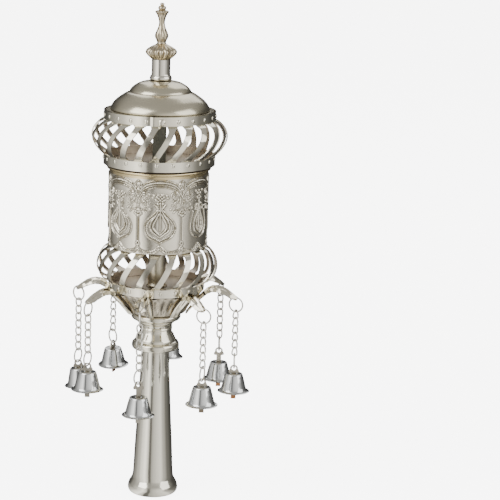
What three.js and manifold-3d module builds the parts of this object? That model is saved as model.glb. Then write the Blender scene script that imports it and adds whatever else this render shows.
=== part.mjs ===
// Torah finial: a silver crown on a hollow stem, hung with eight small bells.
// Millimetres, +Z up, origin at the centre of the foot's underside.

import * as THREE from 'three';
import { mergeVertices } from 'three/addons/utils/BufferGeometryUtils.js';
import Module from 'manifold-3d';

const wasm = await Module();
wasm.setup();

// ---- driving dimensions -------------------------------------------------------------------

const GAP = 0.3;                 // clearance between two pieces that touch
const SHEET = 1.0;               // gauge of the rolled bands, straps and plates
const WALL = 1.2;                // wall of the hollow turned pieces

const FOOT_RADIUS = 18.4;        // widest part of the stem's foot bead
const FOOT_BORE = 13.2;          // socket mouth in the foot
const STEM_LOW_RADIUS = 14.8;    // stem just above the foot bead
const STEM_TOP_RADIUS = 9.9;
const STEM_TOP = 109.5;

const KNOP_TOP = 137.4;
const KNOP_BEAD_RADIUS = 18.0;   // upper bead of the spool collar
const KNOP_WAIST_RADIUS = 11.2;
const KNOP_FOOT_RADIUS = 17.2;   // lower bead of the spool collar

const CALYX_RIM_RADIUS = 33.0;
const CALYX_RIM_TOP = 155.0;
const ARM_COUNT = 8;
const ARM_FIRST_ANGLE = -56.5;   // plan angle of the first arm, measured from +X
const ARM_CREST_RADIUS = 43.0;
const ARM_CREST_TOP = 160.0;
const EYE_RADIUS = 56.0;         // plan radius of the hanging eyes at the arm tips
const EYE_HEIGHT = 151.5;
const EYE_OUTER = 3.2;
const EYE_HOLE = 2.1;
const EYE_THICK = 1.4;
const EYE_TONGUE = 5.6;          // how far the eye's flat runs back into its arm
const EYE_SLOPE = 30;            // how far the tips slope down, in degrees

const LOWER_BAND_RADIUS = 34.3;
const LOWER_BAND_BOTTOM = 155.3;
const LOWER_BAND_TOP = 161.2;
const LOWER_BULGE_RADIUS = 43.7;
const LOWER_BULGE_HEIGHT = 173.0;
const LOWER_STRAPS = 19;
const LOWER_STRAP_TOP = 186.8;
const LOWER_PHASE = -91.5;       // plan angle of one strap's foot on its lower band
const LOWER_TUCK = 5.0;          // how far the basket reaches up inside the drum

const DRUM_RADIUS = 36.0;
const DRUM_BOTTOM = 187.8;
const DRUM_TOP = 242.4;
const NECK_RADIUS = 37.4;        // moulded ring between the drum and the upper basket

const UPPER_BAND_RADIUS = 39.8;
const UPPER_BAND_BOTTOM = 246.3;
const UPPER_BAND_TOP = 253.2;
const UPPER_BULGE_RADIUS = 48.5;
const UPPER_BULGE_HEIGHT = 267.0;
const UPPER_STRAPS = 22;
const UPPER_PHASE = -95.0;
const TOP_BAND_BOTTOM = 278.4;
const TOP_BAND_TOP = 284.7;

const LOWER_LEAN = 19;           // how far a strap winds round between its two bands, degrees
const UPPER_LEAN = 18;
const STRAP_WAIST = 0.12;        // how much narrower a strap's share of the turn is at its middle
const STRAP_STEPS = 4;

const POST_WIDTH = 9.6;          // square post inside the upper basket
const CORE_RADIUS = 6.3;         // round tube inside the lower basket

const DOME_BASE_RADIUS = 35.4;
const DOME_STEP_RADIUS = 22.2;   // ledge between the dome's two tiers
const DOME_STEP_HEIGHT = 296.8;
const DOME_TOP = 305.6;

const NECK_TUBE_RADIUS = 6.7;
const NECK_TUBE_TOP = 320.4;
const SPIRE_KNOP_RADIUS = 11.2;  // fluted knop under the spire
const HEIGHT = 360.0;

const WIRE = 1.0;                // chain and ring wire
const RING_RADIUS = 5.2;         // centreline radius of the hanging rings
const LINK_HALF_LENGTH = 3.25;   // centreline
const LINK_HALF_WIDTH = 1.9;     // centreline
const LINK_PITCH = 5.5;
const LINK_TWIST = 42;           // turn of alternate links from the chain's plane, degrees

const BELL_RIM_RADIUS = 11.6;
const BELL_TOP_RADIUS = 6.4;
const BELL_HEIGHT = 13.0;
const BELL_WALL = 0.8;
const TAB_WIDTH = 7.6;           // two-lobed head of the hanger strip
const TAB_NECK = 3.6;
const TAB_THICK = 0.9;
const TAB_HOLE = 1.6;
const TONGUE_BELOW = 6.0;        // how far the clapper tongue hangs below the rim

// One pendant for each arm, counted anticlockwise from above. ring, chain, low and strip are
// the plan angles of the hanging ring, the chain, the bell's ring and the hanger; twist is the
// hand of the chain's first link, rise is how far the hanger stands up through the bell's top,
// and lean tips the bell about its eye.
const PENDANTS = [
  { links: 6, ring: -22, chain: 26, twist: 1, low: 70, strip: 0, rise: 3.6, lean: 0 },
  { links: 6, ring: -25, chain: 30, twist: 1, low: 88, strip: 0, rise: 3.6, lean: 0 },
  { links: 6, ring: 66, chain: -10, twist: -1, low: 90, strip: 0, rise: 8.6, lean: 0 },
  { links: 5, ring: 90, chain: -40, twist: 1, low: 80, strip: 0, rise: 3.6, lean: 5 },
  { links: 6, ring: 124, chain: 35, twist: 1, low: 125, strip: 60, rise: 3.6, lean: -5 },
  { links: 7, ring: 140, chain: -31, twist: 1, low: 62, strip: 0, rise: 3.6, lean: -6 },
  { links: 5, ring: 240, chain: 13, twist: -1, low: 62, strip: 0, rise: 3.8, lean: 0 },
  { links: 6, ring: 270, chain: -19, twist: 1, low: 52, strip: 0, rise: 8.8, lean: 0 },
];

const DEG = Math.PI / 180;

// ---- finishes -----------------------------------------------------------------------------

function finish(color, roughness, metalness = 1.0) {
  return () => new THREE.MeshStandardMaterial({ color, roughness, metalness });
}

const SILVER = finish(0xcac6b8, 0.28);
const SATIN = finish(0xaaa596, 0.4);
const WARM_SILVER = finish(0xc9bfa8, 0.32);
const BROWN_PLATE = finish(0x8a7a64, 0.55);
const DARK_POST = finish(0x6b6c60, 0.5);
const BELL_SILVER = finish(0xb4b7b4, 0.25);
const WIRE_SILVER = finish(0xb8b2a0, 0.35);

// ---- solids -------------------------------------------------------------------------------

// A merged mesh with only positions, turned so that its faces point outwards.
function closed(geometry) {
  geometry.deleteAttribute('normal');
  geometry.deleteAttribute('uv');
  const merged = mergeVertices(geometry, 1e-4);
  const p = merged.attributes.position;
  const index = Array.from(merged.index.array);
  const a = new THREE.Vector3();
  const b = new THREE.Vector3();
  const c = new THREE.Vector3();
  const faces = [];
  let volume = 0;
  for (let i = 0; i < index.length; i += 3) {
    const [u, v, w] = [index[i], index[i + 1], index[i + 2]];
    if (u === v || v === w || u === w) continue;
    a.fromBufferAttribute(p, u);
    b.fromBufferAttribute(p, v);
    c.fromBufferAttribute(p, w);
    volume += a.dot(b.cross(c));
    faces.push(u, v, w);
  }
  if (volume < 0) {
    for (let i = 0; i < faces.length; i += 3) {
      [faces[i], faces[i + 1]] = [faces[i + 1], faces[i]];
    }
  }
  merged.setIndex(faces);
  return merged;
}

function solid(geometry) {
  const g = closed(geometry);
  return new wasm.Manifold(new wasm.Mesh({
    numProp: 3,
    vertProperties: new Float32Array(g.attributes.position.array),
    triVerts: new Uint32Array(g.index.array),
  }));
}

function geometryOf(manifold) {
  const m = manifold.getMesh();
  const g = new THREE.BufferGeometry();
  g.setAttribute('position', new THREE.BufferAttribute(new Float32Array(m.vertProperties), 3));
  g.setIndex(new THREE.BufferAttribute(new Uint32Array(m.triVerts), 1));
  g.computeVertexNormals();
  return g;
}

function joined(geometries) {
  return geometries.map(solid).reduce((whole, piece) => whole.add(piece));
}

// A solid of revolution about +Z from [radius, height] pairs.
function turned(profile, segments) {
  const points = profile.map(([r, z]) => new THREE.Vector2(r, z));
  return new THREE.LatheGeometry(points, segments).rotateX(Math.PI / 2);
}

// A hollow turned ring or tube: the outline is closed on itself.
function turnedRing(profile, segments) {
  return turned([...profile, profile[0]], segments);
}

// Points of an arc in the radius-height plane, from one angle to another in degrees.
function arc(r, z, radius, from, to, steps) {
  return Array.from({ length: steps + 1 }, (_, i) => {
    const t = (from + (to - from) * i / steps) * DEG;
    return [r + radius * Math.cos(t), z + radius * Math.sin(t)];
  });
}

function move(geometry, x, y, z) {
  return geometry.translate(x, y, z);
}

// ---- stem and knop ------------------------------------------------------------------------

function stemRadius(z) {
  const t = (z - 13) / (STEM_TOP - 13);
  return STEM_LOW_RADIUS + (STEM_TOP_RADIUS - STEM_LOW_RADIUS) * t + 0.35 * Math.sin(Math.PI * t);
}

function handle() {
  const heights = [13, 60, STEM_TOP];
  const outer = [
    [15.9, 0],
    [FOOT_RADIUS - 0.6, 1.4],
    [FOOT_RADIUS, 4.4],
    [16.7, 9.3],
    ...heights.map((z) => [stemRadius(z), z]),
  ];
  const inner = [
    ...[...heights].reverse().map((z) => [stemRadius(z) - WALL, z]),
    [FOOT_BORE, 9],
    [FOOT_BORE, 0],
  ];
  return turnedRing([...outer, ...inner], 20);
}

function knop() {
  const z0 = STEM_TOP + GAP;
  return turned([
    [0, z0],
    [15.4, z0],
    ...arc(KNOP_FOOT_RADIUS - 3, z0 + 3.2, 3, -40, 60, 2),
    [14.9, 117.4],
    [12.6, 120.8],
    [KNOP_WAIST_RADIUS, 125.2],
    [12.1, 126.4],
    [12.8, 128.6],
    [15.4, 132.2],
    ...arc(KNOP_BEAD_RADIUS - 2.6, KNOP_TOP - 2.8, 2.6, -30, 50, 2),
    [14.5, KNOP_TOP],
    [0, KNOP_TOP],
  ], 16);
}

// ---- calyx with its eight arms ------------------------------------------------------------

// The arched arm in its own plane: plan radius, height of its centreline, half width and depth.
const ARM_STATIONS = [
  [25.0, 143.2, 3.4, 3.0],
  [32.0, 153.0, 3.8, 4.2],
  [ARM_CREST_RADIUS, ARM_CREST_TOP - 2.4, 4.2, 4.6],
  [52.6, 154.2, 3.8, 2.8],
];

// A swept bar that lies in the XZ plane, with a station list for its size.
function armBar() {
  const g = new THREE.BoxGeometry(1, 1, 1, ARM_STATIONS.length - 1, 1, 1);
  const p = g.attributes.position;
  for (let i = 0; i < p.count; i += 1) {
    const k = Math.round((p.getX(i) + 0.5) * (ARM_STATIONS.length - 1));
    const [r, z, half, deep] = ARM_STATIONS[k];
    const before = ARM_STATIONS[Math.max(k - 1, 0)];
    const after = ARM_STATIONS[Math.min(k + 1, ARM_STATIONS.length - 1)];
    const slope = Math.atan2(after[1] - before[1], after[0] - before[0]);
    const up = p.getZ(i) * deep;
    const wide = p.getZ(i) > 0 ? 1 : 0.62;
    p.setXYZ(i, r - up * Math.sin(slope), 2 * p.getY(i) * half * wide, z + up * Math.cos(slope));
  }
  return g;
}

// The flat tongue at an arm's tip, with a round end and its hole.
function armEye() {
  const half = 2.4;
  const outline = new THREE.Shape();
  outline.moveTo(-EYE_TONGUE, -half);
  outline.lineTo(-half, -half);
  outline.absarc(0, 0, EYE_OUTER, -0.7 * Math.PI, 0.7 * Math.PI, false);
  outline.lineTo(-EYE_TONGUE, half);
  const hole = new THREE.Path();
  hole.absarc(0, 0, EYE_HOLE, 0, 2 * Math.PI, true);
  outline.holes.push(hole);
  const flat = { depth: EYE_THICK, bevelEnabled: false, curveSegments: 3 };
  return new THREE.ExtrudeGeometry(outline, flat)
    .translate(0, 0, -EYE_THICK / 2)
    .rotateY(EYE_SLOPE * DEG)
    .translate(EYE_RADIUS, 0, EYE_HEIGHT);
}

function calyx() {
  const z0 = KNOP_TOP + GAP;
  const rim = CALYX_RIM_TOP - GAP;
  const bowl = turnedRing([
    [4.0, z0],
    [16.0, z0],
    [20.6, z0 + 1.0],
    [27.0, 146.0],
    [CALYX_RIM_RADIUS, rim],
    [CALYX_RIM_RADIUS - 2.0, rim],
    [25.0, 146.8],
    [18.6, z0 + 2.8],
    [4.0, z0 + 2.4],
  ], 16);
  const arms = [];
  for (let k = 0; k < ARM_COUNT; k += 1) {
    const angle = (ARM_FIRST_ANGLE + k * 360 / ARM_COUNT) * DEG;
    arms.push(armBar().rotateZ(angle), armEye().rotateZ(angle));
  }
  const roomRadius = (LOWER_BAND_RADIUS + GAP) / Math.cos(Math.PI / 20);
  const room = new THREE.CylinderGeometry(roomRadius, roomRadius, 12, 20)
    .rotateX(Math.PI / 2)
    .translate(0, 0, rim + 6);
  return geometryOf(joined([bowl, ...arms]).subtract(solid(room)));
}

// ---- pierced baskets ----------------------------------------------------------------------

// One band of sheet, slit on the slant and pressed down until its straps bulge. Two plain
// bands, of which every second facet carries a strap, so the whole cage is one piece. low and
// high are the bands' radius, free edge and slit edge; winding is the straps' slant in degrees.
function basket({ count, phase, winding, low, bulge, high }) {
  const vertices = [];
  const faces = [];
  const half = Math.PI / count / 2;

  // A point on the outer face and its partner on the inner face.
  const pair = (angle, radius, z, slope) => {
    const index = vertices.length / 3;
    const inner = radius - SHEET * Math.cos(slope);
    vertices.push(radius * Math.cos(angle), radius * Math.sin(angle), z);
    vertices.push(inner * Math.cos(angle), inner * Math.sin(angle), z + SHEET * Math.sin(slope));
    return { outer: index, inner: index + 1 };
  };
  const quad = (a, b, c, d) => faces.push(a, b, c, a, c, d);
  const skin = (a, b, c, d) => {
    quad(a.outer, b.outer, c.outer, d.outer);
    quad(d.inner, c.inner, b.inner, a.inner);
  };
  const edge = (a, b) => quad(a.outer, a.inner, b.inner, b.outer);

  const bandEdge = (radius, z, turn) => Array.from({ length: 2 * count }, (_, c) => (
    pair(phase * DEG + turn + (2 * c - 1) * half, radius, z, 0)));
  const plainBand = (bottom, top, slitOnTop) => bottom.forEach((_, c) => {
    const next = (c + 1) % (2 * count);
    const strapped = c % 2 === 0;
    skin(bottom[c], bottom[next], top[next], top[c]);
    if (slitOnTop || !strapped) edge(bottom[c], bottom[next]);
    if (!slitOnTop || !strapped) edge(top[next], top[c]);
  });

  const lean = winding * DEG;
  const foot = bandEdge(low.r, low.slit, 0);
  const head = bandEdge(high.r, high.slit, lean);
  const lowFree = bandEdge(low.r, low.free, 0);
  const highFree = bandEdge(high.r, high.free, lean);
  plainBand(lowFree, foot, true);
  plainBand(head, highFree, false);

  const rise = high.slit - low.slit;
  const skew = Math.log(0.5) / Math.log((bulge.z - low.slit) / rise);
  const radiusAt = (t) => {
    const end = low.r + (high.r - low.r) * t;
    return end + (bulge.r - end) * Math.sin(Math.PI * t ** skew) ** bulge.fullness;
  };
  for (let k = 0; k < count; k += 1) {
    const rows = [[foot[2 * k], foot[2 * k + 1]]];
    for (let s = 1; s < STRAP_STEPS; s += 1) {
      const t = s / STRAP_STEPS;
      const slope = Math.atan2(radiusAt(t + 0.02) - radiusAt(t - 0.02), 0.04 * rise);
      const wide = half * (1 - STRAP_WAIST * Math.sin(Math.PI * t));
      const middle = phase * DEG + 2 * k * 2 * half + lean * t;
      rows.push([-1, 1].map((side) => (
        pair(middle + side * wide, radiusAt(t), low.slit + rise * t, slope))));
    }
    rows.push([head[2 * k], head[2 * k + 1]]);
    for (let s = 0; s < STRAP_STEPS; s += 1) {
      const [a, b] = rows[s];
      const [d, c] = rows[s + 1];
      skin(a, b, c, d);
      edge(d, a);
      edge(b, c);
    }
  }
  const g = new THREE.BufferGeometry();
  g.setAttribute('position', new THREE.Float32BufferAttribute(vertices, 3));
  g.setIndex(faces);
  return g;
}

function upperBasket() {
  return basket({
    count: UPPER_STRAPS,
    phase: UPPER_PHASE,
    winding: UPPER_LEAN,
    low: { r: UPPER_BAND_RADIUS, free: UPPER_BAND_BOTTOM, slit: UPPER_BAND_TOP },
    bulge: { r: UPPER_BULGE_RADIUS, z: UPPER_BULGE_HEIGHT, fullness: 0.7 },
    high: { r: UPPER_BAND_RADIUS, free: TOP_BAND_TOP, slit: TOP_BAND_BOTTOM },
  });
}

// The lower basket's upper band is tucked up inside the drum.
function lowerBasket() {
  return basket({
    count: LOWER_STRAPS,
    phase: LOWER_PHASE,
    winding: LOWER_LEAN,
    low: { r: LOWER_BAND_RADIUS, free: LOWER_BAND_BOTTOM, slit: LOWER_BAND_TOP },
    bulge: { r: LOWER_BULGE_RADIUS, z: LOWER_BULGE_HEIGHT, fullness: 0.55 },
    high: {
      r: DRUM_RADIUS - WALL - GAP,
      free: LOWER_STRAP_TOP + LOWER_TUCK,
      slit: LOWER_STRAP_TOP,
    },
  });
}

// ---- plates, post and tube ----------------------------------------------------------------

function plate(radius, bottom) {
  return new THREE.CylinderGeometry(radius, radius, SHEET, 24)
    .rotateX(Math.PI / 2)
    .translate(0, 0, bottom + SHEET / 2);
}

function centreTube() {
  const bottom = LOWER_BAND_BOTTOM + SHEET + GAP;
  const outer = CORE_RADIUS;
  return turnedRing([
    [outer - WALL, bottom],
    [outer + 1.6, bottom],
    [outer, bottom + 2.2],
    [outer, DRUM_TOP],
    [outer - WALL, DRUM_TOP],
  ], 12);
}

function upperPost() {
  const bottom = DRUM_TOP + 5.4;
  const top = TOP_BAND_TOP - SHEET - GAP;
  return new THREE.BoxGeometry(POST_WIDTH, POST_WIDTH, top - bottom)
    .translate(0, 0, (bottom + top) / 2);
}

// ---- drum and neck ring -------------------------------------------------------------------

function drum() {
  const r = DRUM_RADIUS;
  return turnedRing([
    [r - WALL, DRUM_BOTTOM],
    [r - 0.3, DRUM_BOTTOM],
    [r, DRUM_BOTTOM + 1.0],
    [r, DRUM_TOP - 2.2],
    [r - 1.4, DRUM_TOP],
    [r - 1.4 - WALL, DRUM_TOP],
    [r - WALL, DRUM_TOP - 3.0],
  ], 24);
}

function neckRing() {
  const z = DRUM_TOP + GAP;
  return turned([
    [0, z],
    [35.6, z],
    [NECK_RADIUS - 0.4, z + 0.8],
    [NECK_RADIUS, z + 1.8],
    [36.4, z + 2.6],
    [36.8, z + 3.3],
    [0, z + 3.3],
  ], 24);
}

// ---- dome, neck tube and spire ------------------------------------------------------------

function dome() {
  const z0 = TOP_BAND_TOP + GAP;
  const outer = [
    [DOME_BASE_RADIUS, z0],
    [35.2, 286.4],
    [33.2, 289.2],
    [29.0, 292.8],
    [25.6, 295.0],
    [DOME_STEP_RADIUS, DOME_STEP_HEIGHT],
    [21.3, 298.6],
    [17.8, 301.6],
    [12.8, 304.2],
    [8.4, DOME_TOP],
    [0, DOME_TOP],
  ];
  const inner = [
    [0, DOME_TOP - WALL],
    [11.4, 303.0],
    [19.6, 297.0],
    [27.8, 291.8],
    [32.2, 287.8],
    [33.9, z0],
  ];
  return turnedRing([...outer, ...inner], 24);
}

function neckTube() {
  const z0 = DOME_TOP + GAP;
  return turnedRing([
    [5.0, z0],
    [7.2, z0],
    [7.9, z0 + 1.4],
    [NECK_TUBE_RADIUS, z0 + 3.8],
    [NECK_TUBE_RADIUS, NECK_TUBE_TOP],
    [5.0, NECK_TUBE_TOP],
  ], 12);
}

function spire() {
  const z0 = NECK_TUBE_TOP + GAP;
  return turned([
    [0, z0],
    [7.0, z0],
    [SPIRE_KNOP_RADIUS, 325.2],
    [8.6, 328.4],
    [3.2, 331.6],
    [4.7, 336.4],
    [2.1, 345.4],
    [4.9, 353.2],
    [2.2, 355.0],
    [2.9, 356.4],
    [0, HEIGHT],
  ], 12);
}

// ---- pendants -----------------------------------------------------------------------------

// An upright wire ring in the XZ plane, with a flat at its top and one at its bottom.
function wireRing() {
  const sides = 8;
  const corner = Math.PI / sides;
  return new THREE.TorusGeometry(RING_RADIUS / Math.cos(corner), WIRE / 2, 4, sides)
    .rotateZ(corner)
    .rotateX(Math.PI / 2);
}

// A long link in the XZ plane: a ring whose two halves are drawn apart.
function link() {
  const wire = WIRE / 2 + 0.06;
  const g = new THREE.TorusGeometry(LINK_HALF_WIDTH, wire, 4, 6)
    .rotateZ(Math.PI / 6)
    .rotateX(Math.PI / 2);
  const p = g.attributes.position;
  const draw = LINK_HALF_LENGTH - LINK_HALF_WIDTH;
  for (let i = 0; i < p.count; i += 1) {
    p.setZ(i, p.getZ(i) + Math.sign(p.getZ(i)) * draw);
  }
  return g;
}

// The chain hangs down from z = 0, the centre of its top wire.
function chain(links, twist) {
  const pieces = [];
  for (let k = 0; k < links; k += 1) {
    const side = k % 2 === 0 ? twist : -twist;
    pieces.push(move(link().rotateZ(side * LINK_TWIST * DEG), 0, 0,
      -LINK_HALF_LENGTH - k * LINK_PITCH));
  }
  return geometryOf(joined(pieces));
}

// The hanger strip, in the XZ plane with its hole at the origin: a two-lobed head, a narrow
// neck through the bell's top, and a bent tongue that is the clapper.
function hanger(rise) {
  const lobe = TAB_WIDTH / 2;
  const drop = rise + BELL_HEIGHT + TONGUE_BELOW;
  const outline = new THREE.Shape([
    [-TAB_NECK / 2, -drop],
    [TAB_NECK / 2, -drop],
    [TAB_NECK / 2, -3.2],
    [lobe - 0.4, -3.1],
    [lobe, -1.9],
    [2.9, 0.4],
    [1.6, 2.6],
    [-1.6, 2.6],
    [-2.9, 0.4],
    [-lobe, -1.9],
    [0.4 - lobe, -3.1],
    [-TAB_NECK / 2, -3.2],
  ].map(([x, y]) => new THREE.Vector2(x, y)));
  const hole = new THREE.Path();
  hole.absarc(0, 0.2, TAB_HOLE, 0, 2 * Math.PI, true);
  outline.holes.push(hole);
  const flat = { depth: TAB_THICK, bevelEnabled: false, curveSegments: 3 };
  return new THREE.ExtrudeGeometry(outline, flat)
    .translate(0, 0, -TAB_THICK / 2)
    .rotateX(Math.PI / 2);
}

// The bell hangs down from z = 0, its flat top, which has a slot for the hanger.
function bell() {
  const r = BELL_RIM_RADIUS;
  const h = BELL_HEIGHT;
  return turnedRing([
    [2.6, -BELL_WALL],
    [2.6, 0],
    [BELL_TOP_RADIUS, -0.4],
    [8.8, -8.8],
    [r, -h],
    [r - 0.8, -h],
    [8.0, -9.0],
    [5.6, -BELL_WALL],
  ], 10);
}

// ---- the assembly -------------------------------------------------------------------------

const finial = new THREE.Group();

function add(name, geometry, material, parent = finial) {
  const mesh = new THREE.Mesh(closed(geometry), material());
  mesh.geometry.computeVertexNormals();
  mesh.name = name;
  parent.add(mesh);
  return mesh;
}

add('handle', handle(), SILVER);
add('knop', knop(), SILVER);
add('calyx', calyx(), SILVER);
add('lower_plate', plate(LOWER_BAND_RADIUS - SHEET - GAP, LOWER_BAND_BOTTOM), BROWN_PLATE);
add('lower_basket', lowerBasket(), SILVER);
add('centre_tube', centreTube(), SATIN);
add('drum', drum(), SILVER);
add('neck_ring', neckRing(), WARM_SILVER);
add('upper_plate', plate(UPPER_BAND_RADIUS - SHEET - GAP, UPPER_BAND_BOTTOM), BROWN_PLATE);
add('upper_post', upperPost(), DARK_POST);
add('upper_basket', upperBasket(), SILVER);
add('top_plate', plate(UPPER_BAND_RADIUS - SHEET - GAP, TOP_BAND_TOP - SHEET), SATIN);
add('dome', dome(), SATIN);
add('neck_tube', neckTube(), WARM_SILVER);
add('spire', spire(), WARM_SILVER);

// Each pendant hangs from the outer rim of its arm's eye.
const RIM_MIDDLE = (EYE_OUTER + EYE_HOLE) / 2;
const RIM_TOP = EYE_THICK / 2 + WIRE / 2 + GAP;

PENDANTS.forEach((p, k) => {
  const number = k + 1;
  const arm = (ARM_FIRST_ANGLE + k * 360 / ARM_COUNT) * DEG;
  const side = p.ring * DEG;
  const tilt = Math.sin(EYE_SLOPE * DEG) * Math.cos(side - arm);
  const pendant = new THREE.Group();
  pendant.position.set(
    EYE_RADIUS * Math.cos(arm) + RIM_MIDDLE * Math.cos(side),
    EYE_RADIUS * Math.sin(arm) + RIM_MIDDLE * Math.sin(side),
    EYE_HEIGHT + RIM_TOP - RIM_MIDDLE * tilt,
  );
  finial.add(pendant);

  const ring = add(`hanging_ring_${number}`, wireRing(), WIRE_SILVER, pendant);
  ring.position.z = -RING_RADIUS;
  ring.rotation.z = side;

  const top = -2 * RING_RADIUS + WIRE + GAP;
  const links = add(`chain_${number}`, chain(p.links, p.twist), WIRE_SILVER, pendant);
  links.position.z = top;
  links.rotation.z = p.chain * DEG;

  const low = top - 2 * LINK_HALF_LENGTH - (p.links - 1) * LINK_PITCH + WIRE + GAP;
  const bellRing = add(`bell_ring_${number}`, wireRing(), WIRE_SILVER, pendant);
  bellRing.position.z = low - RING_RADIUS;
  bellRing.rotation.z = p.low * DEG;

  const hung = new THREE.Group();
  hung.position.z = low - 2 * RING_RADIUS;
  hung.rotation.set(0, p.lean * DEG, p.strip * DEG);
  pendant.add(hung);
  const strip = add(`hanger_${number}`, hanger(p.rise), WIRE_SILVER, hung);
  strip.position.z = -0.7;
  const cup = add(`bell_${number}`, bell(), BELL_SILVER, hung);
  cup.position.z = -p.rise - 0.7;
});

export default finial;
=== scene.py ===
"""A silver torah finial: hollow stem, spool knop, calyx with eight leafy arms, two pierced
baskets round an embossed drum, a domed top with its spire, and eight bells on chains.

Lengths are in millimetres until a mesh is finished, when they become metres."""

import logging
import math
from collections.abc import Callable, Sequence
from dataclasses import dataclass
from enum import Enum

import bmesh
import bpy
import numpy as np
from mathutils import Matrix, Vector

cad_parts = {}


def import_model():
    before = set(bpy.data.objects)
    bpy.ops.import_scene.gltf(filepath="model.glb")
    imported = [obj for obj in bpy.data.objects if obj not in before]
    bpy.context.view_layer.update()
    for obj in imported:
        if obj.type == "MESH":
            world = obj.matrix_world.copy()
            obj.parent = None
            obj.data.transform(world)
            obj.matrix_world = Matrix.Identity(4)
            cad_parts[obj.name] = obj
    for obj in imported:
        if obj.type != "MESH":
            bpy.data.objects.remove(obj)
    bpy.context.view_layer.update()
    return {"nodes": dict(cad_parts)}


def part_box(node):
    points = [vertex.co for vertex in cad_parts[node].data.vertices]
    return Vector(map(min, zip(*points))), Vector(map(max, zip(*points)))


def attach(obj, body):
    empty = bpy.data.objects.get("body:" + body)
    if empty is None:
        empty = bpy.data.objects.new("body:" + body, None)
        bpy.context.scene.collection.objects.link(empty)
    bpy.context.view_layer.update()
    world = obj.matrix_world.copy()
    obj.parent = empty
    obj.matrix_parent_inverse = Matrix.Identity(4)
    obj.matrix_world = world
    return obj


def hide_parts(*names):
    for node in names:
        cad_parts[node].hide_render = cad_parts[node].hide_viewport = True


LOG = logging.getLogger("finial")
MM = 0.001
TURN = 2.0 * math.pi
UP = Vector((0.0, 0.0, 1.0))
Point = tuple[float, float]
Colour = tuple[float, float, float]


# ---- finishes ------------------------------------------------------------------------------


class Graph:
    """The node tree of a material or a world, with short calls to add and join its nodes."""

    def __init__(self, owner: bpy.types.Material | bpy.types.World) -> None:
        """Starts an empty tree.

        Args:
            owner: the material or world that it belongs to.
        """
        owner.use_nodes = True
        self.owner = owner
        self.tree = owner.node_tree
        self.tree.nodes.clear()

    def add(self, kind: str, settings: dict | None = None, **inputs: object) -> bpy.types.Node:
        """Adds one node.

        Args:
            kind: the node's class name without ShaderNode.
            settings: the node's own properties.
            inputs: its sockets by name, underscores for spaces, as values or output sockets.

        Returns:
            The new node.
        """
        node = self.tree.nodes.new("ShaderNode" + kind)
        for key, value in (settings or {}).items():
            setattr(node, key, value)
        for key, value in inputs.items():
            socket = node.inputs[int(key[1:]) if key[1:].isdigit() else key.replace("_", " ")]
            if isinstance(value, bpy.types.NodeSocket):
                self.tree.links.new(value, socket)
            else:
                socket.default_value = value
        return node

    def math(self, operation: str, a: object, b: object = 0.0) -> bpy.types.NodeSocket:
        """One sum on one or two values, clamped to the range 0 to 1."""
        node = self.add("Math", {"operation": operation, "use_clamp": True}, i0=a, i1=b)
        return node.outputs[0]

    def blend(self, amount: object, a: object, b: object) -> bpy.types.NodeSocket:
        """The colour between a and b."""
        node = self.add("Mix", {"data_type": "RGBA"}, i0=amount, i6=a, i7=b)
        return node.outputs[2]

    def noise(self, place: bpy.types.NodeSocket, scale: float,
              detail: float) -> bpy.types.NodeSocket:
        """Cloudy noise of a given fineness, per metre."""
        return self.add("TexNoise", Vector=place, Scale=scale, Detail=detail).outputs["Fac"]


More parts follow.
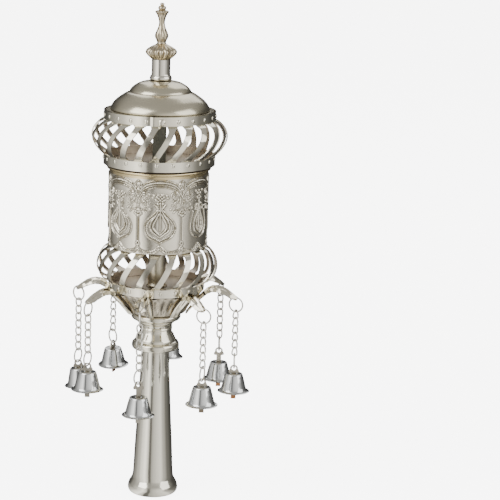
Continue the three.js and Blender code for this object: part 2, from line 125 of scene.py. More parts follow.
@dataclass(frozen=True)
class Metal:
    """A metal finish: clean colour, patina and painted shade, polish and unevenness."""

    name: str
    bright: Colour
    patina_and_shade_colour: Colour
    roughness: float = 0.2
    mottle: float = 0.35
    hollow_patina_and_shade: float = 0.8
    reach: float = 3.0
    wobble: float = 0.12
    grain: float = 0.04
    drips: bool = False
    recess_shade: float = 0.0

    def build(self) -> bpy.types.Material:
        """Makes the material.

        Returns:
            The material, with its colour darkened by patina and painted shade in the hollows.
        """
        g = Graph(bpy.data.materials.new(self.name))
        place = g.add("TexCoord").outputs["Object"]
        cloud = g.noise(place, 45.0, 5.0)
        fine = g.noise(place, 420.0, 4.0)
        # Patina and painted shade: the colour darkens where the surface is occluded.
        occlusion = g.add("AmbientOcclusion", {"samples": 6}, Distance=self.reach * MM)
        hollow = g.math("SUBTRACT", 1.0, occlusion.outputs["AO"])
        hollow = g.math("MULTIPLY", g.math("POWER", hollow, 1.4), self.hollow_patina_and_shade)
        patch = g.add("MapRange", Value=cloud, From_Min=0.45, From_Max=0.8, To_Min=0.0,
                      To_Max=self.mottle)
        marks_and_shade = g.math("MAXIMUM", hollow, g.math("MULTIPLY", patch.outputs[0], 0.9))
        # Painted shade in the hollows beside the drum's raised pattern, as the mesh marks it.
        if self.recess_shade > 0.0:
            painted_shade = g.add("Attribute", {"attribute_name": "recess_shade"}).outputs["Fac"]
            marks_and_shade = g.math("MAXIMUM", marks_and_shade, g.math("MULTIPLY", painted_shade, self.recess_shade))
        if self.drips:
            marks_and_shade = g.math("MAXIMUM", marks_and_shade, self.drip_marks(g, place))
        colour = g.blend(marks_and_shade, (*self.bright, 1.0), (*self.patina_and_shade_colour, 1.0))
        polish = g.add("MapRange", Value=fine, From_Min=0.3, From_Max=0.75,
                       To_Min=self.roughness * (1.0 - 5.0 * self.grain),
                       To_Max=self.roughness * (1.0 + 7.0 * self.grain))
        rough = g.math("ADD", polish.outputs[0], g.math("MULTIPLY", marks_and_shade, 0.22))
        dents = g.noise(place, 130.0, 1.0)
        shape = g.add("Bump", Strength=self.wobble, Distance=0.8 * MM, Height=dents)
        skin = g.add("Bump", Strength=self.grain, Distance=0.15 * MM, Height=fine,
                     Normal=shape.outputs[0])
        shader = g.add("BsdfPrincipled", Base_Color=colour, Metallic=1.0, Roughness=rough,
                       Normal=skin.outputs[0])
        g.add("OutputMaterial", Surface=shader.outputs[0])
        return g.owner

    def drip_marks(self, g: Graph, place: bpy.types.NodeSocket) -> bpy.types.NodeSocket:
        """Dull runs that hang down the stem from under the knop.

        Args:
            g: the material's graph.
            place: the coordinates of the surface.

        Returns:
            Where the marks are, from 0 to 1.
        """
        squashed = g.add("Mapping", Vector=place, Scale=(1.0, 1.0, 0.07))
        runs = g.noise(squashed.outputs[0], 330.0, 1.5)
        height = g.add("SeparateXYZ", Vector=place).outputs["Z"]
        high = g.add("MapRange", Value=height, From_Min=78 * MM, From_Max=108 * MM)
        sharp = g.add("MapRange", Value=runs, From_Min=0.56, From_Max=0.66)
        return g.math("MULTIPLY", g.math("MULTIPLY", high.outputs[0], sharp.outputs[0]), 0.55)


class Finish(Enum):
    """The finishes of the finial, by the pieces that have them."""

    SILVER = Metal("polished_silver", (0.84, 0.80, 0.67), (0.20, 0.155, 0.095), 0.12, mottle=0.18,
                   grain=0.02)
    STEM = Metal("stem_silver", (0.80, 0.77, 0.665), (0.24, 0.205, 0.145), 0.11, mottle=0.08,
                 wobble=0.04, grain=0.02, drips=True)
    SATIN = Metal("satin_silver", (0.66, 0.61, 0.47), (0.17, 0.135, 0.085), 0.22, mottle=0.0,
                  wobble=0.0, grain=0.0)
    WARM = Metal("warm_silver", (0.84, 0.74, 0.54), (0.20, 0.14, 0.075), 0.14, mottle=0.15,
                 grain=0.02)
    CAST = Metal("cast_silver", (0.56, 0.485, 0.35), (0.15, 0.105, 0.06), 0.2, mottle=0.3,
                 reach=2.0)
    GILT = Metal("gilt_silver", (0.80, 0.66, 0.38), (0.20, 0.14, 0.075), 0.2, mottle=0.3)
    # The drum darkens strongly in its hollows, as patina and painted shade.
    EMBOSSED = Metal("embossed_silver", (0.86, 0.81, 0.68), (0.11, 0.09, 0.055), 0.2,
                     mottle=0.2, hollow_patina_and_shade=1.0, reach=1.2, wobble=0.02, grain=0.02, recess_shade=0.9)
    CALYX = Metal("calyx_silver", (0.60, 0.545, 0.44), (0.20, 0.155, 0.10), 0.24, mottle=0.45,
                  hollow_patina_and_shade=0.55, reach=3.0)
    LEAF = Metal("leaf_silver", (0.84, 0.79, 0.655), (0.17, 0.13, 0.085), 0.14, mottle=0.12,
                 hollow_patina_and_shade=0.9, reach=1.1, grain=0.02)
    BELL = Metal("bell_silver", (0.68, 0.68, 0.60), (0.12, 0.115, 0.095), 0.10, mottle=0.12,
                 wobble=0.12, grain=0.02)
    WIRE = Metal("wire_silver", (0.34, 0.295, 0.215), (0.09, 0.07, 0.045), 0.26, mottle=0.6,
                 reach=1.5)
    STRIP = Metal("strip_silver", (0.58, 0.54, 0.45), (0.14, 0.11, 0.075), 0.26, mottle=0.5)
    DULL = Metal("dark_strip", (0.24, 0.20, 0.15), (0.08, 0.06, 0.045), 0.35, mottle=0.6)
    COPPER = Metal("worn_copper", (0.42, 0.20, 0.09), (0.12, 0.07, 0.04), 0.4, mottle=0.7)
    FLOOR = Metal("brown_plate", (0.40, 0.32, 0.215), (0.15, 0.11, 0.065), 0.45, mottle=0.6,
                  reach=8.0)
    POST = Metal("dull_post", (0.235, 0.24, 0.20), (0.10, 0.095, 0.07), 0.48, mottle=0.5,
                 reach=6.0)

    def material(self) -> bpy.types.Material:
        """The finish's material, made the first time it is asked for."""
        return bpy.data.materials.get(self.value.name) or self.value.build()


# ---- making pieces -------------------------------------------------------------------------


def rounded(points: Sequence[Point], steps: int = 4) -> list[Point]:
    """A smooth line through points; a point given twice is a sharp corner.

    Args:
        points: radius and height pairs.
        steps: how many short lines stand for each span.

    Returns:
        The denser line.
    """
    runs: list[list[Point]] = [[points[0]]]
    for before, after in zip(points, points[1:]):
        if before == after:
            runs.append([])
        runs[-1].append(after)
    line: list[Point] = []
    for run in runs:
        ends = [run[0], *run, run[-1]]
        for k in range(len(run) - 1):
            a, b, c, d = (np.array(p) for p in ends[k:k + 4])
            for s in range(steps):
                t = s / steps
                line.append(tuple(0.5 * (2 * b + (c - a) * t + (2 * a - 5 * b + 4 * c - d) * t * t
                                         + (3 * b - a - 3 * c + d) * t ** 3)))
        line.append(run[-1])
    return line


def turned(line: Sequence[Point], steps: int, closed: bool = False) -> bmesh.types.BMesh:
    """Turns a line round the upright axis.

    Args:
        line: radius and height pairs.
        steps: facets round the turn.
        closed: whether the line's end joins its start, as on a tube's wall.

    Returns:
        The surface, as a new mesh.
    """
    mesh = bmesh.new()
    verts = [mesh.verts.new((r, 0.0, z)) for r, z in line]
    pairs = list(zip(verts, verts[1:])) + ([(verts[-1], verts[0])] if closed else [])
    edges = [mesh.edges.new(pair) for pair in pairs]
    bmesh.ops.spin(mesh, geom=verts + edges, cent=(0, 0, 0), axis=UP, angle=TURN, steps=steps,
                   use_merge=True, use_normal_flip=False, use_duplicate=False)
    bmesh.ops.remove_doubles(mesh, verts=mesh.verts, dist=0.001)
    return mesh


def shaped(mesh: bmesh.types.BMesh, rule: Callable[[Vector], Vector]) -> None:
    """Moves every vertex of a mesh by a rule."""
    for vert in mesh.verts:
        vert.co = rule(vert.co)


def repeated(mesh: bmesh.types.BMesh, count: int) -> None:
    """Copies a mesh round the upright axis until there are count of it, and joins its seams."""
    bmesh.ops.spin(mesh, geom=mesh.verts[:] + mesh.edges[:] + mesh.faces[:], cent=(0, 0, 0),
                   axis=UP, angle=TURN * (count - 1) / count, steps=count - 1,
                   use_merge=False, use_normal_flip=False, use_duplicate=True)
    bmesh.ops.remove_doubles(mesh, verts=mesh.verts, dist=0.002)


def polar(radius: float, angle: float, height: float) -> Vector:
    """The point at a radius, an angle from +X in radians, and a height."""
    return Vector((radius * math.cos(angle), radius * math.sin(angle), height))


@dataclass
class Piece:
    """One finished piece of the finial, and the CAD nodes that it stands for."""

    name: str
    slot: str
    finish: Finish
    nodes: tuple[str, ...] = ()
    sharp: float = 38.0
    extra: tuple[Finish, ...] = ()

    def finished(self, mesh: bmesh.types.BMesh,
                 place: Matrix = Matrix.Identity(4)) -> bpy.types.Object:
        """Turns a mesh in millimetres into the piece's object.

        Args:
            mesh: the shape, which is used up.
            place: where the shape goes, in millimetres.

        Returns:
            The object, at the origin and riding on the body.
        """
        bmesh.ops.recalc_face_normals(mesh, faces=mesh.faces)
        bmesh.ops.transform(mesh, matrix=Matrix.Scale(MM, 4) @ place, verts=mesh.verts)
        data = bpy.data.meshes.new(self.name)
        mesh.to_mesh(data)
        mesh.free()
        data.shade_smooth()
        data.set_sharp_from_angle(angle=math.radians(self.sharp))
        for finish in (self.finish, *self.extra):
            data.materials.append(finish.material())
        thing = bpy.data.objects.new(self.name, data)
        bpy.context.scene.collection.objects.link(thing)
        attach(thing, "root")
        if self.nodes:
            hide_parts(*self.nodes)
        LOG.info("%s: %d faces", self.name, len(data.polygons))
        return thing


# ---- stem and knop -------------------------------------------------------------------------


@dataclass
class Stem:
    """The hollow tapering stem with its foot bead, and the spool knop on it."""

    wall: float = 1.2
    bore: float = 13.2
    top: float = 109.5
    foot: tuple[Point, ...] = ((15.6, 0.0), (15.6, 0.0), (17.0, 0.5), (18.1, 1.9), (18.4, 4.0),
                               (17.7, 6.9), (16.2, 9.6), (15.2, 12.0), (14.62, 16.5),
                               (14.25, 25.0), (13.55, 40.0), (12.72, 54.0), (11.9, 70.0),
                               (11.15, 84.0), (10.4, 98.8), (9.85, 109.5))
    spool: tuple[Point, ...] = ((15.0, 109.8), (15.0, 109.8), (16.6, 110.4), (17.3, 112.2),
                                (16.9, 114.4), (15.6, 115.6), (15.6, 115.6), (14.9, 116.0),
                                (14.9, 116.0), (14.6, 117.6), (13.3, 119.9), (11.9, 122.4),
                                (11.1, 124.6), (11.1, 124.6), (11.9, 125.2), (11.5, 126.3),
                                (11.1, 126.8), (11.1, 126.8), (11.7, 128.6), (12.4, 129.4),
                                (12.4, 129.4), (13.3, 129.9), (13.6, 130.8), (13.0, 131.7),
                                (13.0, 131.7), (16.1, 132.0), (17.6, 133.1), (18.0, 134.9),
                                (17.2, 136.6), (15.4, 137.4))

    def build(self) -> None:
        """Makes both turned pieces."""
        outer = rounded(self.foot, 5)
        inner = [(r - self.wall, z) for r, z in reversed(self.foot) if z > 12.5]
        mesh = turned(outer + inner + [(self.bore, 9.0), (self.bore, 0.0)], 96, closed=True)
        Piece("handle_turned", "silver", Finish.STEM, ("handle",), 30.0).finished(mesh)
        line = rounded(self.spool, 5)
        mesh = turned([(0.0, line[0][1]), *line, (0.0, line[-1][1])], 96)
        Piece("knop_turned", "silver", Finish.SILVER, ("knop",), 30.0).finished(mesh)


# ---- calyx ---------------------------------------------------------------------------------


@dataclass
class Calyx:
    """The fluted bowl under the lower basket, and its eight leafy arms."""

    flutes: int = 32
    gauge: float = 1.0
    leaf_gauge: float = 0.9
    first: float = -56.5
    arms: int = 8
    bowl: tuple[Point, ...] = ((16.9, 137.9), (18.6, 137.9), (21.2, 138.5), (22.6, 140.6),
                               (24.2, 143.4), (27.0, 146.8), (30.2, 150.4), (32.6, 153.6),
                               (33.0, 154.9))
    spine: tuple[tuple[float, float, float, float], ...] = (
        (22.0, 139.2, 2.6, 0.8), (25.0, 143.6, 3.0, 1.8), (29.0, 148.8, 3.3, 2.6),
        (33.2, 153.6, 3.5, 3.2), (37.4, 157.8, 3.7, 3.6), (41.0, 159.7, 3.9, 3.8),
        (45.0, 160.0, 4.2, 3.9), (48.6, 159.3, 4.6, 3.9), (52.2, 157.6, 4.7, 3.8),
        (55.2, 155.4, 4.3, 3.2), (57.6, 153.6, 3.3, 1.8), (59.6, 151.8, 1.8, 0.5))
    holes: tuple[tuple[int, int], ...] = ((37, 2), (37, 8))
    along: int = 44
    across: int = 12

    def build(self) -> None:
        """Makes the bowl and arms as one piece."""
        mesh = self.make_bowl()
        for k in range(self.arms):
            self.add_arm(mesh, math.radians(self.first + 360.0 * k / self.arms))
        Piece("calyx_leafwork", "silver", Finish.CALYX, ("calyx",), 50.0,
              (Finish.LEAF,)).finished(mesh)

    def make_bowl(self) -> bmesh.types.BMesh:
        """The fluted cup with its cut rim.

        Returns:
            The cup, as a new mesh.
        """
        mesh = turned(rounded(self.bowl, 3), self.flutes * 6)

        def flute(p: Vector) -> Vector:
            """Presses one point into its flute, and cuts the rim down beside each arm."""
            angle = math.atan2(p.y, p.x)
            radius = math.hypot(p.x, p.y)
            rise = min(1.0, max(0.0, (p.z - 138.6) / 4.0))
            wave = abs(math.sin(angle * self.flutes / 2.0))
            step = 360.0 / self.arms
            apart = abs((math.degrees(angle) - self.first + step / 2.0) % step - step / 2.0)
            near_rim = max(0.0, (p.z - 149.0) / 6.0)
            low = (1.3 * math.exp(-((apart - 9.0) / 4.0) ** 2)
                   + 0.9 * math.exp(-((apart - step / 2.0) / 2.5) ** 2))
            return polar(radius - rise * 0.8 * (1.0 - wave), angle, p.z - near_rim * low)

        shaped(mesh, flute)
        bmesh.ops.recalc_face_normals(mesh, faces=mesh.faces)
        bmesh.ops.solidify(mesh, geom=mesh.faces[:], thickness=self.gauge)
        return mesh

    def add_arm(self, mesh: bmesh.types.BMesh, angle: float) -> None:
        """One arched leaf with ribs, rolled edges and pierced holes, and its hanging eye.

        Args:
            mesh: where it goes.
            angle: its plan angle in radians.
        """
        arm = bmesh.new()
        bmesh.ops.create_grid(arm, x_segments=self.along, y_segments=self.across, size=0.5)
        self.pierce(arm)
        stations = np.array(self.spine)
        keys = np.linspace(0.0, 1.0, len(stations))

        def leaf(p: Vector) -> Vector:
            """Lays one point of the flat grid on the leaf."""
            t = min(1.0, max(0.0, p.x + 0.5))
            side = 2.0 * p.y
            r, z, half, drop = (float(np.interp(t, keys, stations[:, c])) for c in range(4))
            leafy = min(1.0, max(0.0, (t - 0.5) / 0.1))
            lobes = 1.0 + 0.09 * leafy * (abs(math.sin(math.pi * 5.5 * t)) - 0.4)
            ridge = 0.6 * math.cos(3.0 * math.pi * side)
            lip = 0.7 * max(0.0, abs(side) - 0.8) / 0.2
            return Vector((r, side * half * lobes, z - drop * abs(side) ** 1.8 - 0.5 + ridge + lip))

        shaped(arm, leaf)
        bmesh.ops.recalc_face_normals(arm, faces=arm.faces)
        bmesh.ops.solidify(arm, geom=arm.faces[:], thickness=self.leaf_gauge)
        self.add_eye(arm)
        for face in arm.faces:
            face.material_index = 1
        bmesh.ops.transform(arm, matrix=Matrix.Rotation(angle, 4, "Z"), verts=arm.verts)
        joined(mesh, arm)

    def pierce(self, arm: bmesh.types.BMesh) -> None:
        """Cuts small rounded holes in the flat grid of a leaf.

        Args:
            arm: the grid, which is one unit square.
        """
        for column, row in self.holes:
            middle = Vector(((column + 1) / self.along - 0.5, (row + 1) / self.across - 0.5, 0.0))
            size = Vector((1.0 / self.along, 1.0 / self.across))
            inside = [f for f in arm.faces
                      if abs(f.calc_center_median().x - middle.x) < size.x
                      and abs(f.calc_center_median().y - middle.y) < size.y]
            bmesh.ops.delete(arm, geom=inside, context="FACES")
            for vert in arm.verts:
                off = vert.co - middle
                if abs(abs(off.x) - size.x) < 1e-4 and abs(abs(off.y) - size.y) < 1e-4:
                    vert.co = middle + off * 0.72

    def add_eye(self, arm: bmesh.types.BMesh) -> None:
        """The round eye under the leaf's tip, which holds the hanging ring."""
        eye = bmesh.new()
        ring(eye, 2.65, 0.62, 24, 8)
        bmesh.ops.transform(eye, matrix=Matrix.Translation((56.0, 0.0, 151.5))
                            @ Matrix.Rotation(math.radians(30), 4, "Y")
                            @ Matrix.Rotation(math.pi / 2, 4, "X"), verts=eye.verts)
        joined(arm, eye)


def joined(whole: bmesh.types.BMesh, part: bmesh.types.BMesh) -> None:
    """Adds part to whole, and uses it up."""
    data = bpy.data.meshes.new("part")
    part.to_mesh(data)
    part.free()
    whole.from_mesh(data)
    bpy.data.meshes.remove(data)


def ring(mesh: bmesh.types.BMesh, radius: float, wire: float, steps: int, sides: int) -> None:
    """A wire ring that stands upright in the XZ plane, centred on the origin.

    Args:
        mesh: where it goes.
        radius: of the wire's centreline.
        wire: the wire's own radius.
        steps: facets round the ring.
        sides: facets round the wire.
    """
    made = bmesh.ops.create_circle(mesh, segments=sides, radius=wire, cap_ends=False)["verts"]
    bmesh.ops.translate(mesh, vec=(radius, 0, 0), verts=made)
    upright = Matrix.Rotation(math.pi / 2, 3, "X")
    bmesh.ops.rotate(mesh, cent=(radius, 0, 0), matrix=upright, verts=made)
    edges = list({e for v in made for e in v.link_edges})
    bmesh.ops.spin(mesh, geom=made + edges, cent=(0, 0, 0), axis=UP, angle=TURN, steps=steps,
                   use_merge=True, use_normal_flip=False, use_duplicate=False)
    bmesh.ops.remove_doubles(mesh, verts=mesh.verts, dist=0.0005)
    bmesh.ops.rotate(mesh, cent=(0, 0, 0), matrix=upright, verts=mesh.verts)


# ---- pierced baskets -----------------------------------------------------------------------


@dataclass
class Basket:
    """A rolled sheet with slanting slits, pressed down until its straps bulge."""

    name: str
    node: str
    straps: int
    phase: float
    low_radius: float
    low_free: float
    low_slit: float
    bulge_radius: float
    bulge_height: float
    fullness: float
    high_radius: float
    high_slit: float
    high_free: float
    rivets: tuple[tuple[float, float, float], ...]
    lean: float
    laps: tuple[tuple[float, float, float], ...] = ()
    big_rivets: tuple[tuple[float, float, float], ...] = ()
    gauge: float = 0.9
    share: float = 0.40
    rivet_size: float = 1.5
    big_share: float = 1.7
    lap_turn: float = 9.0
    lap_rise: float = 0.7

    def build(self) -> None:
        """Makes the sheet and its rivets as one piece."""
        mesh = bmesh.new()
        self.cell(mesh)
        repeated(mesh, self.straps)
        for angle, low, high in self.laps:
            self.lap(mesh, angle, low, high)
        bmesh.ops.recalc_face_normals(mesh, faces=mesh.faces)
        bmesh.ops.solidify(mesh, geom=mesh.faces[:], thickness=self.gauge)
        for face in mesh.faces:
            outward = face.normal.xy.dot(face.calc_center_median().xy)
            face.material_index = 1 if outward < 0 else 0
        for radius, height, phase in self.rivets:
            for k in range(self.straps):
                self.rivet(mesh, radius, height, phase + 360.0 * k / self.straps, self.rivet_size)
        for radius, height, phase in self.big_rivets:
            self.rivet(mesh, radius, height, phase, self.big_share * self.rivet_size)
        Piece(self.name, "silver", Finish.SILVER, (self.node,), 40.0,
              (Finish.FLOOR,)).finished(mesh)

    def cell(self, mesh: bmesh.types.BMesh) -> None:
        """One strap with its share of the two bands.

        Args:
            mesh: where it goes.
        """
        strap, gap, band, rows = 6, 4, 4, 18
        columns, lines = strap + gap, 2 * band + rows
        bmesh.ops.create_grid(mesh, x_segments=columns, y_segments=lines, size=0.5)
        cut = [f for f in mesh.faces
               if f.calc_center_median().x + 0.5 > strap / columns
               and band < (f.calc_center_median().y + 0.5) * lines < band + rows]
        bmesh.ops.delete(mesh, geom=cut, context="FACES")
        pitch = TURN / self.straps
        rise = self.high_slit - self.low_slit
        skew = math.log(0.5) / math.log((self.bulge_height - self.low_slit) / rise)

        def lay(p: Vector) -> Vector:
            """Lays one point of the flat grid on the basket."""
            u = (p.x + 0.5) * columns
            row = (p.y + 0.5) * lines
            start = math.radians(self.phase)
            if row <= band:
                height = self.low_free + (self.low_slit - self.low_free) * row / band
                t, radius = 0.0, self.low_radius
            elif row >= band + rows:
                past = (row - band - rows) / band
                height = self.high_slit + (self.high_free - self.high_slit) * past
                t, radius = 1.0, self.high_radius
            else:
                t = (row - band) / rows
                height = self.low_slit + rise * t
                end = self.low_radius + (self.high_radius - self.low_radius) * t
                bulge = math.sin(math.pi * t ** skew) ** self.fullness
                radius = end + (self.bulge_radius - end) * bulge
            spread = 0.13 * max(0.0, 1.0 - min(t, 1.0 - t) * rows / 1.4)
            half = 0.5 * self.share * min(self.low_radius, self.high_radius) / radius + spread
            share = (u / strap - 0.5) * 2.0 * half if u <= strap + 1e-6 else (
                half + (u - strap) / gap * (1.0 - 2.0 * half))
            return polar(radius, start + pitch * share + math.radians(self.lean) * t, height)

        shaped(mesh, lay)

    def lap(self, mesh: bmesh.types.BMesh, angle: float, low: float, high: float) -> None:
        """Lifts the band where one end of the sheet lies over the other.

        Args:
            mesh: the basket.
            angle: the plan angle of the upper end's edge, in degrees.
            low: the band's lower edge.
            high: its upper edge.
        """
        for vert in mesh.verts:
            if low - 0.1 <= vert.co.z <= high + 0.1:
                past = (math.degrees(math.atan2(vert.co.y, vert.co.x)) - angle) % 360.0
                if past < self.lap_turn:
                    rise = self.lap_rise * (1.0 - past / self.lap_turn)
                    vert.co.xy *= 1.0 + rise / self.low_radius

    def rivet(self, mesh: bmesh.types.BMesh, radius: float, height: float, turn: float,
              size: float) -> None:
        """One small domed rivet head.

        Args:
            mesh: where it goes.
            radius: of the band's outer face.
            height: of the head's middle.
            turn: its plan angle in degrees.
            size: its own radius.
        """
        head = bmesh.new()
        bmesh.ops.create_uvsphere(head, u_segments=12, v_segments=8, radius=size)
        bmesh.ops.transform(head, matrix=Matrix.Rotation(math.radians(turn), 4, "Z")
                            @ Matrix.Translation((radius - 0.1, 0.0, height))
                            @ Matrix.Diagonal((0.5, 1.0, 1.0, 1.0)), verts=head.verts)
        joined(mesh, head)


# ---- drum ----------------------------------------------------------------------------------


@dataclass
class Drum:
    """The sheet cylinder, embossed with arched panels of onion and bud shapes."""

    radius: float = 35.4
    bottom: float = 187.4
    top: float = 242.4
    wall: float = 1.0
    first: float = -87.6
    around: int = 630
    up: int = 150
    gilt: float = 1.9
    crisp: float = 1.7
    ground: float = 0.9
    lowest: float = -0.3
    highest: float = 0.72

    def build(self) -> None:
        """Makes the drum."""
        height = self.top - self.bottom
        line = [(self.radius, self.bottom + height * k / self.up) for k in range(self.up + 1)]
        mesh = turned(line, self.around)
        mark = mesh.verts.layers.float.new("recess_shade")
        verts = list(mesh.verts)
        flat = np.array([v.co for v in verts])
        angle = np.degrees(np.arctan2(flat[:, 1], flat[:, 0])) - self.first
        lift = self.pattern(angle, flat[:, 2])
        column = np.round(angle * self.around / 360.0).astype(int) % self.around
        row = np.round((flat[:, 2] - self.bottom) * self.up / height).astype(int)
        sheet = np.zeros((self.up + 1, self.around))
        sheet[row, column] = lift
        soft = softened(sheet, 3)
        shape = np.clip(self.crisp * sheet - self.ground * soft, self.lowest,
                        self.highest)[row, column]
        # Painted shade: how far each point sits in a hollow beside the raised pattern, kept on the
        # mesh for the material.
        painted_shade = np.clip(4.0 * (softened(sheet, 1) - sheet) / 0.5, 0.0, 1.0)[row, column]
        for vert, extra, dark in zip(verts, shape, painted_shade):
            vert.co.xy *= 1.0 + float(extra) / self.radius
            vert[mark] = float(dark)
        rim = [e for e in mesh.edges if e.is_boundary]
        made = bmesh.ops.extrude_edge_only(mesh, edges=rim)["geom"]
        inner = [v for v in made if isinstance(v, bmesh.types.BMVert)]
        for vert in inner:
            vert.co.xy *= (self.radius - self.wall) / math.hypot(*vert.co.xy)
        bmesh.ops.bridge_loops(mesh, edges=[e for e in mesh.edges if e.is_boundary])
        for face in mesh.faces:
            face.material_index = 1 if face.calc_center_median().z > self.top - self.gilt else 0
        Piece("drum_embossed", "silver", Finish.EMBOSSED, ("drum",), 60.0,
              (Finish.GILT,)).finished(mesh)

    def pattern(self, angle: np.ndarray, z: np.ndarray) -> np.ndarray:
        """The pressed pattern's height at each point.

        Args:
            angle: degrees from the front panel's middle.
            z: heights up the finial.

        Returns:
            Heights above the sheet, in millimetres.
        """
        panel = 360.0 / PANELS
        index = np.floor((angle + panel / 2.0) / panel)
        x = (angle - index * panel) * math.radians(1.0) * GIRTH_RADIUS
        onion = (index.astype(int) % PANELS) % 2 == 0
        everywhere = np.full(x.shape, True)
        lift = stippled(x, z)
        for here, marks in ((onion, ONION), (~onion, BUD), (everywhere, BORDERS)):
            for mark in marks:
                lift[here] = np.maximum(lift[here], mark.draw(x[here], z[here]))
        return lift * np.clip(np.minimum(z - self.bottom, self.top - z), 0.0, 1.0)


def softened(sheet: np.ndarray, reach: int) -> np.ndarray:
    """A grid of heights averaged over its neighbours.

    Args:
        sheet: rows by height, columns round the turn.
        reach: how many cells each way.

    Returns:
        The smoothed grid.
    """
    out = sheet
    for _ in range(2):
        out = sum(np.roll(out, k, axis=1) for k in range(-reach, reach + 1)) / (2 * reach + 1)
        padded = np.pad(out, ((reach, reach), (0, 0)), mode="edge")
        out = sum(padded[k:k + out.shape[0]] for k in range(2 * reach + 1)) / (2 * reach + 1)
    return out


# ---- the drum's pattern --------------------------------------------------------------------


@dataclass(frozen=True)
class Mark:
    """One raised mark of the drum's pattern, drawn on both sides of a panel's middle.

    It is a ridge along a smooth line; with dots a dome at each point, and with a pitch a row of
    domes along the line. Its size is the ridge's width or a dome's radius."""

    size: float
    height: float
    points: tuple[Point, ...]
    dots: bool = False
    pitch: float = 0.0

    def draw(self, x: np.ndarray, z: np.ndarray) -> np.ndarray:
        """The mark's height at each point.

        Args:
            x: distances from the panel's middle.
            z: heights up the finial.

        Returns:
            Heights above the sheet, in millimetres.
        """
        side = np.abs(x)
        if self.dots or self.pitch:
            gap, reach = self.from_domes(side, z), self.size
        else:
            gap, reach = self.from_line(side, z), self.size / 2.0
        return self.height * np.sqrt(np.clip(1.0 - gap / reach ** 2, 0.0, 1.0))

    def from_domes(self, x: np.ndarray, z: np.ndarray) -> np.ndarray:
        """The squared distance from each point to the nearest dome's middle."""
        centres: Sequence[Point] = self.points
        if self.pitch:
            path = np.array(rounded(self.points, 8))
            lengths = np.concatenate(([0.0], np.cumsum(np.hypot(*np.diff(path, axis=0).T))))
            at = np.linspace(0.0, lengths[-1], max(2, round(lengths[-1] / self.pitch)) + 1)
            centres = [(np.interp(t, lengths, path[:, 0]), np.interp(t, lengths, path[:, 1]))
                       for t in at]
        gap = np.full(x.shape, FAR)
        for cx, cz in centres:
            gap = np.minimum(gap, (x - cx) ** 2 + (z - cz) ** 2)
        return gap

    def from_line(self, x: np.ndarray, z: np.ndarray) -> np.ndarray:
        """The squared distance from each point to the smooth line, where it is near."""
        px, pz = np.array(rounded(self.points, 5)).T
        gap = np.full(x.shape, FAR)
        near = ((x > px.min() - self.size) & (x < px.max() + self.size)
                & (z > pz.min() - self.size) & (z < pz.max() + self.size))
        qx, qz, nearest = x[near], z[near], gap[near]
        for ax, az, bx, bz in zip(px, pz, px[1:], pz[1:]):
            vx, vz = bx - ax, bz - az
            length = max(vx * vx + vz * vz, 1e-9)
            t = np.clip(((qx - ax) * vx + (qz - az) * vz) / length, 0.0, 1.0)
            nearest = np.minimum(nearest, (qx - ax - t * vx) ** 2 + (qz - az - t * vz) ** 2)
        gap[near] = nearest
        return gap


def raised(points: Sequence[Point], rise: float) -> tuple[Point, ...]:
    """The same points at another height."""
    return tuple((x, z + rise) for x, z in points)


def shrunk(points: Sequence[Point]) -> tuple[Point, ...]:
    """The onion's outline drawn in to where its ring of beads lies."""
    return tuple((0.86 * x, 206.0 + 0.84 * (z - 206.0)) for x, z in points)


FAR = 1e9
GIRTH_RADIUS = 36.0                      # where distances round the drum are measured
PANELS = 7
HALF = math.pi * GIRTH_RADIUS / PANELS   # from a panel's middle to its edge
ARCH = ((0.0, 236.6), (5.0, 236.2), (9.5, 234.8), (12.6, 232.8), (HALF - 1.9, 230.7))
SWAG = ((HALF, 193.4), (HALF - 2.6, 190.4), (HALF / 2.0 + 0.5, 189.1), (4.4, 190.0),
        (1.6, 192.4), (0.0, 193.6))
ONION_OUTLINE = ((3.4, 217.2), (6.2, 214.4), (9.6, 211.0), (11.3, 206.8), (10.4, 202.4),
                 (7.4, 199.0), (3.2, 197.0), (0.0, 195.2))

